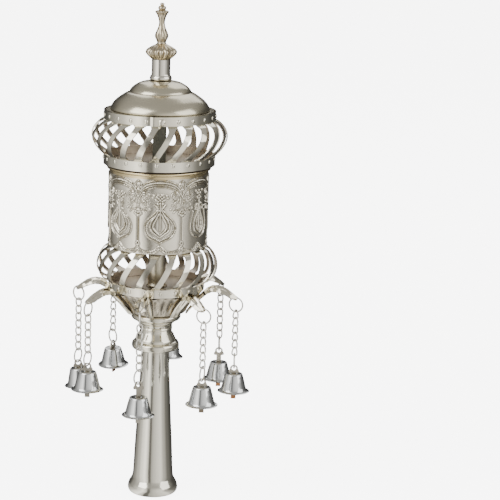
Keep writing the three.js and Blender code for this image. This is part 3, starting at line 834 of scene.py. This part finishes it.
# The roped arches, the knots and lines between panels, the swags, and the scrolled shoulders.
BORDERS = (
    Mark(0.6, 0.4, raised(ARCH, -1.5)),
    Mark(0.8, 0.5, ARCH),
    Mark(0.8, 0.5, raised(ARCH, 3.4)),
    Mark(0.62, 0.55, raised(ARCH, 1.7), pitch=1.05),
    Mark(0.9, 0.5, ((HALF - 1.9, 230.7), (HALF - 1.0, 229.4), (HALF, 227.4))),
    Mark(0.8, 0.6, ((HALF - 0.1, 228.0), (HALF - 0.9, 230.2), (HALF - 1.2, 232.4),
                    (HALF - 0.5, 233.6), (HALF, 232.4))),
    Mark(0.8, 0.55, ((HALF, 239.4), (HALF - 1.6, 238.2), (HALF - 2.6, 236.2),
                     (HALF - 1.6, 235.0), (HALF - 0.6, 236.0))),
    Mark(0.6, 0.4, ((HALF - 0.75, 213.6), (HALF - 0.75, 195.6))),
    Mark(0.85, 0.7, ((HALF, 216.9), (HALF - 1.55, 217.4), (HALF - 1.25, 215.2), (HALF, 214.6),
                     (HALF - 2.4, 216.2)), dots=True),
    Mark(0.7, 0.6, ((HALF, 196.2), (HALF - 1.1, 195.0), (HALF, 193.6), (HALF - 1.0, 194.0)),
         dots=True),
    Mark(0.8, 0.5, SWAG),
    Mark(0.8, 0.5, raised(SWAG, -2.3)),
    Mark(0.5, 0.4, raised(SWAG, -1.15), pitch=1.3),
    Mark(0.75, 0.45, ((HALF - 0.2, 223.4), (HALF - 0.7, 220.6), (HALF - 2.4, 219.2),
                      (HALF - 4.8, 218.6), (HALF - 6.6, 216.8))),
    Mark(0.8, 0.55, ((HALF - 1.3, 223.6), (HALF - 1.5, 227.4), (HALF - 3.2, 230.4),
                     (HALF - 6.0, 231.4), (HALF - 8.2, 229.9), (HALF - 7.8, 228.0))),
    Mark(0.75, 0.5, ((HALF - 3.6, 228.2), (HALF - 5.2, 227.0), (HALF - 3.4, 225.6),
                     (HALF - 6.9, 225.4), (HALF - 5.0, 221.2), (HALF - 7.4, 222.2),
                     (HALF - 6.2, 219.6), (HALF - 8.6, 219.4)), dots=True),
    Mark(0.8, 0.5, ((HALF - 0.6, 226.6), (HALF - 2.6, 229.2), (HALF - 5.2, 229.6),
                    (HALF - 6.6, 227.8), (HALF - 5.4, 226.2))),
    Mark(0.8, 0.5, ((HALF - 3.2, 223.8), (HALF - 4.6, 225.0), (HALF - 5.8, 223.8),
                    (HALF - 5.0, 222.4))),
)
# The onion in its ring of beads, with its stem, its fan and its flower.
ONION = (
    Mark(0.7, 0.5, ONION_OUTLINE),
    Mark(0.55, 0.45, shrunk(ONION_OUTLINE), pitch=1.25),
    Mark(1.0, 0.65, ((1.3, 218.6), (3.2, 214.8), (6.0, 211.0), (7.0, 207.4), (6.2, 204.2),
                     (3.2, 201.8), (0.0, 199.4))),
    Mark(1.1, 0.75, ((0.9, 216.2), (2.9, 212.2), (4.7, 208.4), (4.6, 205.8), (2.6, 203.4),
                     (0.0, 200.9))),
    Mark(1.2, 0.75, ((0.0, 223.0), (0.0, 214.0), (0.0, 204.6))),
    Mark(0.9, 0.6, ((0.7, 218.6), (2.8, 221.6), (4.0, 222.8))),
    Mark(0.9, 0.6, ((3.4, 217.2), (1.9, 219.0), (1.0, 220.4))),
    Mark(0.85, 0.75, ((0.0, 228.6), (1.5, 229.6), (2.6, 228.2), (1.3, 227.2), (0.0, 226.0),
                      (1.6, 225.2), (2.9, 225.9), (0.0, 223.8), (1.7, 223.3), (4.6, 229.2),
                      (5.4, 227.6)), dots=True),
)
# The slender bud between its two petals, with a scroll and a flower over it.
BUD = (
    Mark(0.7, 0.5, ((6.4, 217.0), (7.6, 212.6), (8.8, 208.0), (8.2, 203.0), (5.4, 199.4),
                    (2.4, 198.0), (0.0, 197.4))),
    Mark(1.5, 0.7, ((0.6, 220.8), (1.8, 216.0), (4.2, 212.0), (5.4, 207.6), (4.4, 203.6),
                    (2.0, 201.6), (0.0, 200.6))),
    Mark(0.9, 0.6, ((0.0, 218.0), (1.6, 212.6), (2.6, 208.4), (2.0, 204.8), (0.0, 202.0))),
    Mark(1.5, 0.8, ((0.0, 216.6), (0.0, 210.0), (0.0, 205.6))),
    Mark(0.9, 0.5, ((0.0, 224.4), (0.0, 220.6))),
    Mark(0.9, 0.55, ((2.2, 222.0), (4.0, 220.6), (4.2, 218.4), (3.0, 217.8), (2.6, 219.0))),
    Mark(0.95, 0.8, ((0.0, 231.0), (1.5, 229.4), (0.0, 227.8), (1.7, 226.2), (0.0, 225.6),
                     (3.6, 231.2)), dots=True),
)


def stippled(x: np.ndarray, z: np.ndarray) -> np.ndarray:
    """The finely pitted ground between the shoulders and the arches."""
    pits = np.sin(x * 5.3 + np.sin(z * 2.1)) * np.sin(z * 4.9 + np.sin(x * 1.7))
    zone = np.clip((z - 219.5) / 1.5, 0.0, 1.0) * np.clip((232.5 - z) / 2.0, 0.0, 1.0)
    return 0.22 * np.clip(pits, 0.0, 1.0) * zone


# ---- dome and spire ------------------------------------------------------------------------


@dataclass
class Crown:
    """The neck moulding, centre tube, dome, neck tube and spire."""

    moulding: tuple[Point, ...] = ((35.6, 242.7), (36.6, 242.9), (37.3, 243.9), (36.9, 244.9),
                                   (36.1, 245.1), (36.1, 245.1), (36.4, 245.5), (36.6, 246.0))
    dome: tuple[Point, ...] = ((35.2, 285.0), (35.2, 285.9), (34.6, 287.6), (33.2, 289.7),
                               (31.0, 292.0), (28.2, 294.1), (25.0, 296.2), (22.3, 297.4),
                               (22.3, 297.4), (21.9, 297.9), (21.4, 299.0), (19.6, 301.0),
                               (17.0, 302.8), (13.6, 304.4), (8.2, 305.5))
    neck: tuple[Point, ...] = ((6.8, 305.9), (7.6, 306.2), (7.9, 307.2), (7.5, 308.5),
                               (6.9, 309.3), (6.9, 309.3), (6.65, 310.4), (6.65, 320.4))
    tube: tuple[Point, ...] = ((5.1, 156.6), (7.9, 156.6), (6.9, 157.4), (6.4, 158.8),
                               (6.3, 160.0), (6.3, 242.4), (5.1, 242.4))
    spire: tuple[Point, ...] = ((6.9, 320.7), (6.9, 320.7), (7.8, 321.4), (9.8, 323.2),
                                (11.1, 325.3), (10.3, 327.4), (7.4, 329.4), (4.3, 330.9),
                                (3.2, 331.9), (3.5, 333.3), (4.6, 335.6), (4.8, 337.4),
                                (3.9, 340.0), (2.6, 343.0), (2.1, 345.9), (2.5, 348.6),
                                (3.6, 351.6), (4.9, 353.5), (3.8, 354.5), (2.2, 354.9),
                                (2.2, 354.9), (2.9, 356.2), (2.2, 357.5), (1.2, 357.8),
                                (1.2, 357.8), (1.6, 358.8), (1.1, 359.7), (0.0, 360.0))
    lobes: int = 16
    wall: float = 1.2
    dark_above: float = 244.4

    def build(self) -> None:
        """Makes the five turned pieces."""
        line = rounded(self.moulding, 4)
        mesh = turned([(0.0, line[0][1]), *line, (0.0, line[-1][1])], 128)
        for face in mesh.faces:
            face.material_index = 1 if face.calc_center_median().z > self.dark_above else 0
        Piece("neck_moulding", "warm_silver", Finish.GILT, ("neck_ring",), 38.0,
              (Finish.DULL,)).finished(mesh)
        outer = rounded(self.dome, 4)
        inner = [(r - self.wall, z - (0.6 if z > 286.0 else 0.0))
                 for r, z in self.dome if z < 304.0]
        mesh = turned([(0.0, 305.6), *reversed(outer), *inner, (0.0, 304.0)], 128)
        Piece("dome_spun", "satin", Finish.SATIN, ("dome",), 28.0).finished(mesh)
        mesh = turned([*rounded(self.neck, 4), (5.0, 320.4), (5.0, 305.9)], 64, closed=True)
        Piece("neck_tube_turned", "warm_silver", Finish.WARM, ("neck_tube",), 28.0).finished(mesh)
        mesh = turned(self.tube, 48, closed=True)
        Piece("centre_tube_turned", "satin", Finish.SATIN, ("centre_tube",), 28.0).finished(mesh)
        self.make_spire()

    def make_spire(self) -> None:
        """The fluted knop and the leafy finial over it."""
        mesh = turned([(0.0, 320.7), *rounded(self.spire, 4)], self.lobes * 8)

        def flute(p: Vector) -> Vector:
            """Presses a point into the knop's gadroons, the bulb's leaves or the ruffle."""
            radius, angle = math.hypot(p.x, p.y), math.atan2(p.y, p.x)
            knop = max(0.0, 1.0 - abs(p.z - 325.6) / 5.4) ** 0.6
            bulb = max(0.0, 1.0 - abs(p.z - 337.2) / 4.6)
            ruffle = max(0.0, 1.0 - abs(p.z - 352.8) / 2.4)
            cut = (1.5 * knop * (1.0 - abs(math.cos(angle * self.lobes / 2.0)))
                   + 0.9 * bulb * (1.0 - abs(math.cos(angle * 4.0 + (p.z - 337.2) * 0.3)))
                   + 1.0 * ruffle * (1.0 - abs(math.cos(angle * 4.0))))
            return polar(max(0.0, radius - cut), angle, p.z)

        shaped(mesh, flute)
        Piece("spire_fluted", "warm_silver", Finish.CAST, ("spire",), 50.0).finished(mesh)


# ---- pendants ------------------------------------------------------------------------------


@dataclass
class Pendant:
    """A hanging ring, a curb chain, the bell's ring, its hanger strip and the bell."""

    number: int
    links: int
    ring_turn: float
    chain_turn: float
    hand: int
    low_turn: float
    strip_turn: float
    rise: float
    lean: float
    tongue: Finish = Finish.COPPER
    ring_radius: float = 5.2
    wire: float = 0.5
    link_half: float = 3.25
    link_wide: float = 1.9
    pitch: float = 5.5
    gap: float = 0.3
    ring_share: float = 1.2
    link_share: float = 1.25
    twist: float = 0.74
    strip: float = 0.9
    tongue_length: float = 7.5
    sheet: float = 0.75
    bell: tuple[Point, ...] = ((2.6, 0.0), (5.6, 0.0), (6.2, -0.25), (6.55, -1.0), (7.1, -3.0),
                               (7.8, -5.6), (8.4, -8.2), (9.0, -10.4), (9.6, -11.7),
                               (10.5, -12.5), (11.6, -13.0))

    def build(self) -> None:
        """Makes the pendant's five pieces where they hang."""
        n = self.number
        low, high = (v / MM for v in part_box(f"hanging_ring_{n}"))
        middle = (low + high) / 2.0
        top = Vector((middle.x, middle.y, high.z - self.wire))
        self.place_ring(f"hanging_ring_{n}", self.ring_turn, top)
        z = top.z - 2.0 * self.ring_radius + 2.0 * self.wire + self.gap
        self.place_chain(Vector((top.x, top.y, z)))
        z += 2.0 * self.wire + self.gap - 2.0 * self.link_half - (self.links - 1) * self.pitch
        self.place_ring(f"bell_ring_{n}", self.low_turn, Vector((top.x, top.y, z)))
        place = (Matrix.Translation((top.x, top.y, z - 2.0 * self.ring_radius))
                 @ Matrix.Rotation(math.radians(self.strip_turn), 4, "Z")
                 @ Matrix.Rotation(math.radians(self.lean), 4, "Y"))
        self.place_hanger(place)
        self.place_bell(place)

    def place_ring(self, node: str, turn: float, top: Vector) -> None:
        """One wire ring.

        Args:
            node: the CAD node that it stands for.
            turn: its plan angle in degrees.
            top: the middle of its wire at the top.
        """
        mesh = bmesh.new()
        ring(mesh, self.ring_radius, self.ring_share * self.wire, 36, 8)
        place = (Matrix.Translation(top - Vector((0, 0, self.ring_radius)))
                 @ Matrix.Rotation(math.radians(turn), 4, "Z"))
        Piece(f"{node}_wire", "wire_silver", Finish.WIRE, (node,)).finished(mesh, place)

    def place_chain(self, top: Vector) -> None:
        """The curb chain, of twisted links that lie in one plane.

        Args:
            top: the middle of the first link's top wire.
        """
        chain = bmesh.new()
        straight = self.link_half - self.link_wide
        for k in range(self.links):
            link = bmesh.new()
            ring(link, self.link_wide, self.link_share * self.wire, 20, 7)

            def curb(p: Vector) -> Vector:
                """Draws the ring out into a long link, and twists it a little."""
                z = p.z + math.copysign(straight, p.z) * min(1.0, abs(p.z) / 0.3)
                turn = self.twist * z / self.link_half
                return Vector((p.x * math.cos(turn) - p.y * math.sin(turn),
                               p.x * math.sin(turn) + p.y * math.cos(turn), z))

            shaped(link, curb)
            place = (Matrix.Translation((0, 0, -self.link_half - k * self.pitch))
                     @ Matrix.Rotation(math.radians(self.hand * 6.0), 4, "Z"))
            bmesh.ops.transform(link, matrix=place, verts=link.verts)
            joined(chain, link)
        node = f"chain_{self.number}"
        place = (Matrix.Translation(top)
                 @ Matrix.Rotation(math.radians(0.6 * self.chain_turn), 4, "Z"))
        Piece(f"{node}_links", "wire_silver", Finish.WIRE, (node,)).finished(chain, place)

    def place_hanger(self, place: Matrix) -> None:
        """The two-lobed strip, whose lower end is the clapper's tongue.

        Args:
            place: where the middle of the ring's lowest wire is.
        """
        drop = self.rise + 19.0
        mesh = bmesh.new()
        outline = rounded(((1.5, 2.5), (2.8, 0.9), (2.9, -0.4), (3.75, -1.8), (3.5, -3.0),
                           (1.8, -3.3), (1.8, -3.3), (1.8, -drop + 4.0), (1.8, -drop + 4.0),
                           (1.8, -drop)), 3)
        right = [Vector((x, 0.0, z)) for x, z in outline]
        left = [Vector((-x, 0.0, z)) for x, z in reversed(outline)]
        rim = [mesh.verts.new(p) for p in right + left]
        upright = Matrix.Translation((0, 0, 0.2)) @ Matrix.Rotation(math.pi / 2, 4, "X")
        hole = bmesh.ops.create_circle(mesh, segments=14, radius=1.6, cap_ends=False,
                                       matrix=upright)["verts"]
        bmesh.ops.remove_doubles(mesh, verts=rim, dist=0.01)
        rim = [v for v in mesh.verts if v not in hole]
        edges = [mesh.edges.new((a, b)) for a, b in zip(rim, rim[1:] + rim[:1])]
        edges += [e for v in hole for e in v.link_edges]
        bmesh.ops.triangle_fill(mesh, edges=list(set(edges)), use_beauty=True)
        made = bmesh.ops.extrude_face_region(mesh, geom=mesh.faces[:])["geom"]
        front = [v for v in made if isinstance(v, bmesh.types.BMVert)]
        bmesh.ops.translate(mesh, vec=(0, self.strip, 0), verts=front)
        bmesh.ops.translate(mesh, vec=(0, -0.5 * self.strip, -0.7), verts=mesh.verts)
        cut = -drop + self.tongue_length
        bmesh.ops.bisect_plane(mesh, geom=mesh.verts[:] + mesh.edges[:] + mesh.faces[:],
                               plane_co=(0, 0, cut), plane_no=UP)
        for face in mesh.faces:
            face.material_index = 1 if face.calc_center_median().z < cut else 0
        node = f"hanger_{self.number}"
        Piece(f"{node}_strip", "wire_silver", Finish.STRIP, (node,), 40.0,
              (self.tongue,)).finished(mesh, place)

    def place_bell(self, place: Matrix) -> None:
        """The flared bell with its open slot.

        Args:
            place: where the middle of the ring's lowest wire is.
        """
        slot_edge, crown_edge = 3.0, 6.3
        outer = rounded(self.bell, 4)
        inner = [(r - self.sheet if r > slot_edge else r, z - self.sheet if r < crown_edge else z)
                 for r, z in reversed(self.bell)]
        mesh = turned([*outer, *inner[1:]], 56, closed=True)
        node = f"bell_{self.number}"
        Piece(f"{node}_cup", "bell_silver", Finish.BELL, (node,), 40.0).finished(
            mesh, place @ Matrix.Translation((0, 0, -self.rise - 0.7)))


# ---- studio --------------------------------------------------------------------------------


@dataclass
class Studio:
    """A pale floor, soft light and the camera."""

    distance: float = 1.25
    elevation: float = 12.6
    aim: float = 0.1828
    lens_angle: float = 2.0 * math.atan(250.0 / 1734.2)
    shift: float = 0.1854
    roll: float = 1.17
    glow: float = 6.5
    brightest: float = 3.0
    tones: tuple[Point, ...] = ((-180, 0.04), (-140, 0.10), (-112, 0.40), (-84, 0.85), (-62, 1.7),
                                (-44, 2.4), (-30, 1.3), (-22, 0.22), (-14, 0.2), (-7, 0.7),
                                (8, 1.0), (26, 1.3), (42, 1.5), (62, 0.7), (88, 0.22),
                                (130, 0.08), (180, 0.04))

    def build(self) -> None:
        """Makes the floor, the lights, the sky and the camera."""
        self.make_floor()
        self.make_sky()
        self.softbox("key", (-1.3, -0.9, 1.5), 1.4, 24.0)
        self.softbox("fill", (1.5, -0.6, 1.0), 1.4, 14.0)
        self.softbox("back", (0.2, 1.5, 1.6), 1.6, 12.0)
        self.make_camera()

    def tone(self, g: Graph, place: bpy.types.NodeSocket) -> bpy.types.NodeSocket:
        """How bright the room is in each direction round the finial.

        Args:
            g: the graph that asks.
            place: a point or a direction.

        Returns:
            The brightness.
        """
        parts = g.add("SeparateXYZ", Vector=place)
        ahead = g.add("Math", {"operation": "MULTIPLY"}, i0=parts.outputs["Y"], i1=-1.0)
        turn = g.add("Math", {"operation": "ARCTAN2"}, i0=parts.outputs["X"], i1=ahead.outputs[0])
        share = g.add("MapRange", Value=turn.outputs[0], From_Min=-math.pi, From_Max=math.pi)
        ramp = g.add("ValToRGB", Fac=share.outputs[0])
        stops = ramp.color_ramp.elements
        ramp.color_ramp.interpolation = "EASE"
        for angle, _ in self.tones[1:-1]:
            stops.new((angle + 180.0) / 360.0)
        for stop, (_, level) in zip(stops, self.tones):
            grey = level / self.brightest
            stop.color = (grey, grey, grey, 1.0)
        return g.add("Math", {"operation": "MULTIPLY"}, i0=ramp.outputs[0],
                     i1=self.brightest).outputs[0]

    def make_floor(self) -> None:
        """The wide pale floor."""
        mesh = bmesh.new()
        bmesh.ops.create_grid(mesh, x_segments=1, y_segments=1, size=8.0)
        data = bpy.data.meshes.new("floor")
        mesh.to_mesh(data)
        mesh.free()
        g = Graph(bpy.data.materials.new("pale_floor"))
        light = self.tone(g, g.add("TexCoord").outputs["Object"])
        mirrored = g.add("Emission", Color=(1.0, 0.985, 0.955, 1.0), Strength=light)
        seen = g.add("BsdfPrincipled", Base_Color=(0.9, 0.9, 0.895, 1.0), Roughness=0.9,
                     Emission_Color=(1.0, 1.0, 1.0, 1.0), Emission_Strength=self.glow)
        mix = g.add("MixShader", i0=g.add("LightPath").outputs["Is Camera Ray"],
                    i1=mirrored.outputs[0], i2=seen.outputs[0])
        g.add("OutputMaterial", Surface=mix.outputs[0])
        data.materials.append(g.owner)
        floor = bpy.data.objects.new("floor", data)
        bpy.context.scene.collection.objects.link(floor)

    def make_sky(self) -> None:
        """A plain pale backdrop, and the soft light of the room around it."""
        world = bpy.data.worlds.new("studio")
        bpy.context.scene.world = world
        g = Graph(world)
        place = g.add("TexCoord").outputs["Generated"]
        height = g.add("SeparateXYZ", Vector=place).outputs["Z"]
        high = g.add("MapRange", {"interpolation_type": "SMOOTHSTEP"}, Value=height, From_Min=0.15,
                     From_Max=0.8)
        level = g.add("Mix", {"data_type": "FLOAT"}, i0=high.outputs[0],
                      i2=self.tone(g, place), i3=0.5)
        around = g.add("Background", Color=(1.0, 0.985, 0.955, 1.0), Strength=level.outputs[0])
        seen = g.add("Background", Color=(1.0, 1.0, 1.0, 1.0), Strength=self.glow)
        mix = g.add("MixShader", i0=g.add("LightPath").outputs["Is Camera Ray"],
                    i1=around.outputs[0], i2=seen.outputs[0])
        g.add("OutputWorld", Surface=mix.outputs[0])

    def softbox(self, name: str, place: tuple[float, float, float], size: float,
                power: float) -> None:
        """One square soft light that faces the finial.

        Args:
            name: its name.
            place: where it stands, in metres.
            size: its side.
            power: in watts.
        """
        light = bpy.data.lights.new(name, "AREA")
        light.size = size
        light.energy = power
        lamp = bpy.data.objects.new(name, light)
        lamp.location = place
        aim = Vector((0.0, 0.0, 0.2)) - Vector(place)
        lamp.rotation_euler = aim.to_track_quat("-Z", "Y").to_euler()
        bpy.context.scene.collection.objects.link(lamp)

    def make_camera(self) -> None:
        """The camera, in front and a little above."""
        data = bpy.data.cameras.new("camera")
        data.sensor_width = 36.0
        data.lens = 18.0 / math.tan(self.lens_angle / 2.0)
        data.shift_x = self.shift
        data.clip_start = 0.05
        data.clip_end = 40.0
        eye = bpy.data.objects.new("camera", data)
        rise = math.radians(self.elevation)
        eye.location = (0.0, -self.distance * math.cos(rise),
                        self.aim + self.distance * math.sin(rise))
        aim = Vector((0.0, 0.0, self.aim)) - eye.location
        eye.rotation_euler = (aim.to_track_quat("-Z", "Y").to_matrix()
                              @ Matrix.Rotation(math.radians(self.roll), 3, "Z")).to_euler()
        bpy.context.scene.collection.objects.link(eye)
        bpy.context.scene.camera = eye


# ---- the whole finial ----------------------------------------------------------------------

UPPER_BASKET = Basket("upper_basket_sheet", "upper_basket", 22, -95.0, 39.8, 246.3, 253.2, 48.5,
                      267.0, 0.7, 39.8, 278.4, 284.7, ((39.8, 250.9, -92.4), (39.8, 281.4, -87.5)),
                      18.0, ((-97.0, 278.4, 284.7),), ((39.9, 281.0, -88.0),))
LOWER_BASKET = Basket("lower_basket_sheet", "lower_basket", 19, -91.5, 34.3, 155.3, 161.2, 43.7,
                      173.0, 0.55, 34.4, 186.8, 191.6, ((34.3, 158.4, -86.0),), 19.0,
                      ((-95.0, 155.3, 161.2), (-36.0, 155.3, 161.2)))
PENDANTS = (
    Pendant(1, 6, -22, 26, 1, 70, 0, 3.6, 0, Finish.DULL),
    Pendant(2, 6, -25, 30, 1, 88, 0, 3.6, 0),
    Pendant(3, 6, 66, -10, -1, 90, 0, 8.6, 0),
    Pendant(4, 5, 90, -40, 1, 80, 0, 3.6, 5, Finish.STRIP),
    Pendant(5, 6, 124, 35, 1, 125, 60, 3.6, -5),
    Pendant(6, 7, 140, -31, 1, 62, 0, 3.6, -6, Finish.STRIP),
    Pendant(7, 5, 240, 13, -1, 62, 0, 3.8, 0, Finish.STRIP),
    Pendant(8, 6, 270, -19, 1, 52, 0, 8.8, 0, Finish.STRIP),
)


def dress_kept_nodes(nodes: dict[str, bpy.types.Object]) -> None:
    """Gives the CAD pieces that are shown as they are their finishes.

    Args:
        nodes: the frame's objects by name.
    """
    kept = {"lower_plate": Finish.FLOOR, "upper_plate": Finish.FLOOR, "top_plate": Finish.SATIN,
            "upper_post": Finish.POST}
    for name, finish in kept.items():
        for slot in nodes[name].material_slots:
            slot.material = finish.material()
        LOG.info("%s: kept, %s", name, finish.value.name)


def main() -> None:
    """Builds the whole finial and its studio."""
    logging.basicConfig(level=logging.INFO, format="%(message)s")
    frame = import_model()
    Studio().build()
    dress_kept_nodes(frame["nodes"])
    Stem().build()
    Calyx().build()
    LOWER_BASKET.build()
    UPPER_BASKET.build()
    Drum().build()
    Crown().build()
    for pendant in PENDANTS:
        pendant.build()


if __name__ == "__main__":
    main()
